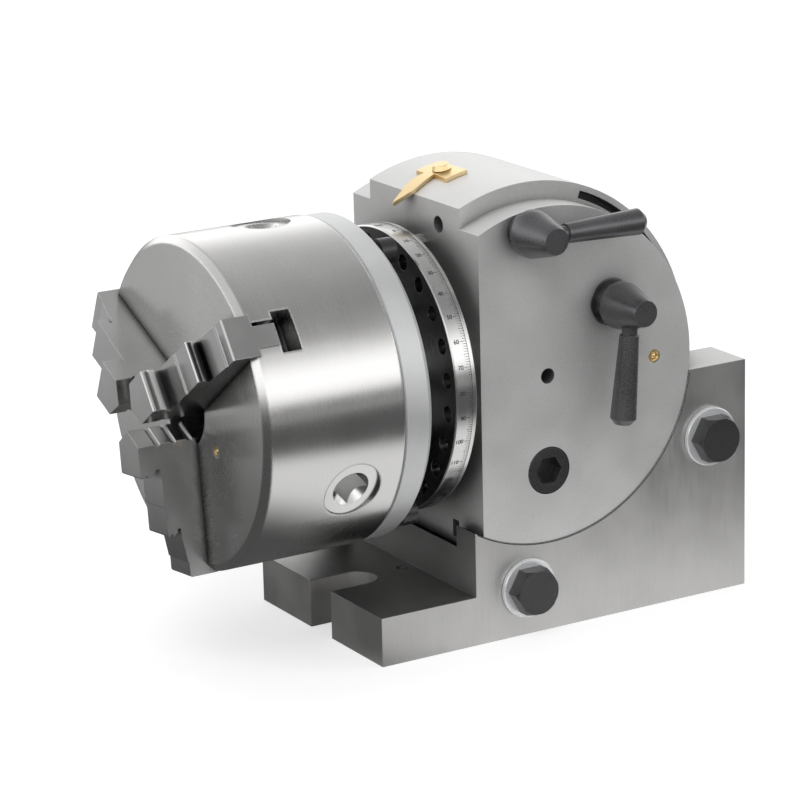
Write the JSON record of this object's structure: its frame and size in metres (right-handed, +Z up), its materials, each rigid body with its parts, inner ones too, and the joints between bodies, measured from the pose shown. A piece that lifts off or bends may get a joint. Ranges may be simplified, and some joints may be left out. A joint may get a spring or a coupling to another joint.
{
  "type": "dividing head",
  "caption": "Small dividing head with a tilting round housing in a cradle base, a self-centring jaw chuck, an index ring with pin, and a worm drive with index plate and crank.",
  "frame": {"origin": "on the base's underside, below the swivel axis and on the spindle's centre plane", "axes": "+X along the spindle from the chuck towards its tail, +Y towards the index plate side, +Z up from the table"},
  "size_m": [0.2445, 0.194, 0.1748],
  "materials": {
    "cast_ground": "fine ground, satin",
    "steel_turned": "turned and ground, bright",
    "steel_satin": "pale satin",
    "steel_hard": "ground, hardened",
    "black_oxide": "black oxide, satin",
    "zinc": "bright zinc",
    "brass": "bright brass",
    "bronze": "turned bronze"
  },
  "bodies": {
    "base": {"base_casting": "cast_ground", "clamp_shoes": "steel_hard", "clamp_washers": "zinc", "clamp_bolts": "black_oxide"},
    "housing": {"swivel_housing": "cast_ground", "front_bearing": "steel_turned", "front_bearing_screws": "black_oxide", "front_bush": "bronze", "rear_bush": "bronze", "worm_plug": "black_oxide", "lock_guide": "steel_hard", "lock_pads": "brass", "near_oiler": "brass", "pointer": "brass", "pointer_screw": "brass"},
    "spindle": {"spindle": "steel_turned", "worm_wheel": "bronze", "wheel_key": "steel_hard", "wheel_nut": "steel_hard", "thrust_washer": "steel_hard", "rear_lock_nuts": "black_oxide", "index_ring": "steel_turned", "index_ring_screws": "black_oxide", "backplate": "steel_satin", "backplate_screws": "black_oxide", "chuck_body": "steel_turned", "chuck_cover": "steel_turned", "pinion_pins": "steel_hard", "chuck_bolts": "black_oxide", "chuck_oiler": "brass"},
    "scroll": {"scroll": "steel_hard"},
    "jaw_a": {"chuck_jaw_a": "steel_hard"},
    "jaw_b": {"chuck_jaw_b": "steel_hard"},
    "jaw_c": {"chuck_jaw_c": "steel_hard"},
    "pinion_a": {"chuck_pinion_a": "steel_turned"},
    "pinion_b": {"chuck_pinion_b": "steel_turned"},
    "pinion_c": {"chuck_pinion_c": "steel_turned"},
    "worm_unit": {"worm_sleeve": "steel_turned", "worm_bush": "bronze", "release_lever": "black_oxide", "index_plate": "steel_turned", "index_plate_screws": "black_oxide"},
    "worm": {"worm_shaft": "steel_hard", "crank_arm": "steel_turned", "crank_nut": "black_oxide", "plunger_body": "steel_turned"},
    "plunger": {"plunger_pin": "steel_hard", "plunger_knob": "black_oxide"},
    "sector_a": {"sector_arm_a": "steel_hard"},
    "sector_b": {"sector_arm_b": "steel_hard"},
    "index_lever": {"index_lever_hub": "black_oxide", "index_lever_handle": "black_oxide", "index_lever_shaft": "steel_hard", "index_finger": "steel_hard"},
    "index_pin": {"index_pin": "steel_hard"},
    "lock_lever": {"lock_lever_hub": "black_oxide", "lock_lever_handle": "black_oxide", "lock_screw": "steel_hard"}
  },
  "joints": [
    {"name": "tilt", "type": "hinge", "parent": "base", "child": "housing", "pos_m": [0, 0, 0.1], "axis": [0, 1, 0], "range_deg": [-10, 90]},
    {"name": "spindle_spin", "type": "hinge", "parent": "housing", "child": "spindle", "pos_m": [0, 0, 0.1], "axis": [1, 0, 0], "continuous": true},
    {"name": "scroll_turn", "type": "hinge", "parent": "spindle", "child": "scroll", "pos_m": [0, 0, 0.1], "axis": [1, 0, 0], "range_deg": [-250, 560]},
    {"name": "jaw_slide_a", "type": "slide", "parent": "spindle", "child": "jaw_a", "axis": [0, -0.809, 0.5878], "range_m": [-0.0056, 0.0125]},
    {"name": "jaw_slide_b", "type": "slide", "parent": "spindle", "child": "jaw_b", "axis": [0, 0.9135, 0.4067], "range_m": [-0.0056, 0.0125]},
    {"name": "jaw_slide_c", "type": "slide", "parent": "spindle", "child": "jaw_c", "axis": [0, -0.1045, -0.9945], "range_m": [-0.0056, 0.0125]},
    {"name": "pinion_turn_a", "type": "hinge", "parent": "spindle", "child": "pinion_a", "pos_m": [-0.092, 0.00523, 0.14973], "axis": [0, 0.1045, 0.9945], "range_deg": [-1100, 2464]},
    {"name": "pinion_turn_b", "type": "hinge", "parent": "spindle", "child": "pinion_b", "pos_m": [-0.092, 0.04045, 0.07061], "axis": [0, 0.809, -0.5878], "range_deg": [-1100, 2464]},
    {"name": "pinion_turn_c", "type": "hinge", "parent": "spindle", "child": "pinion_c", "pos_m": [-0.092, -0.04568, 0.07966], "axis": [0, -0.9135, -0.4067], "range_deg": [-1100, 2464]},
    {"name": "worm_release", "type": "hinge", "parent": "housing", "child": "worm_unit", "pos_m": [0.0035, 0, 0.063], "axis": [0, -1, 0], "range_deg": [0, 90]},
    {"name": "worm_spin", "type": "hinge", "parent": "worm_unit", "child": "worm", "pos_m": [0, 0.05, 0.063], "axis": [0, 1, 0], "continuous": true},
    {"name": "plunger_slide", "type": "slide", "parent": "worm", "child": "plunger", "axis": [0, 1, 0], "range_m": [-0.011, 0]},
    {"name": "sector_turn_a", "type": "hinge", "parent": "worm_unit", "child": "sector_a", "pos_m": [0, 0.065, 0.063], "axis": [0, 1, 0], "continuous": true},
    {"name": "sector_turn_b", "type": "hinge", "parent": "worm_unit", "child": "sector_b", "pos_m": [0, 0.068, 0.063], "axis": [0, 1, 0], "continuous": true},
    {"name": "index_lever_turn", "type": "hinge", "parent": "housing", "child": "index_lever", "pos_m": [-0.0105, -0.03, 0.1575], "axis": [0, 1, 0], "range_deg": [0, 21]},
    {"name": "index_pin_slide", "type": "slide", "parent": "housing", "child": "index_pin", "axis": [-1, 0, 0], "range_m": [0, 0.0024]},
    {"name": "lock_lever_turn", "type": "hinge", "parent": "housing", "child": "lock_lever", "pos_m": [0.0285, -0.03, 0.1245], "axis": [0, 1, 0], "range_deg": [-25, 35]}
  ],
  "couplings": [
    {"joint": "jaw_slide_a", "follows": "scroll_turn", "m_per_rad": 0.0012732},
    {"joint": "jaw_slide_b", "follows": "scroll_turn", "m_per_rad": 0.0012732},
    {"joint": "jaw_slide_c", "follows": "scroll_turn", "m_per_rad": 0.0012732},
    {"joint": "pinion_turn_a", "follows": "scroll_turn", "ratio": 4.4},
    {"joint": "pinion_turn_b", "follows": "scroll_turn", "ratio": 4.4},
    {"joint": "pinion_turn_c", "follows": "scroll_turn", "ratio": 4.4},
    {"joint": "worm_spin", "follows": "spindle_spin", "ratio": -40},
    {"joint": "index_pin_slide", "follows": "index_lever_turn", "m_per_rad": 0.0061}
  ]
}
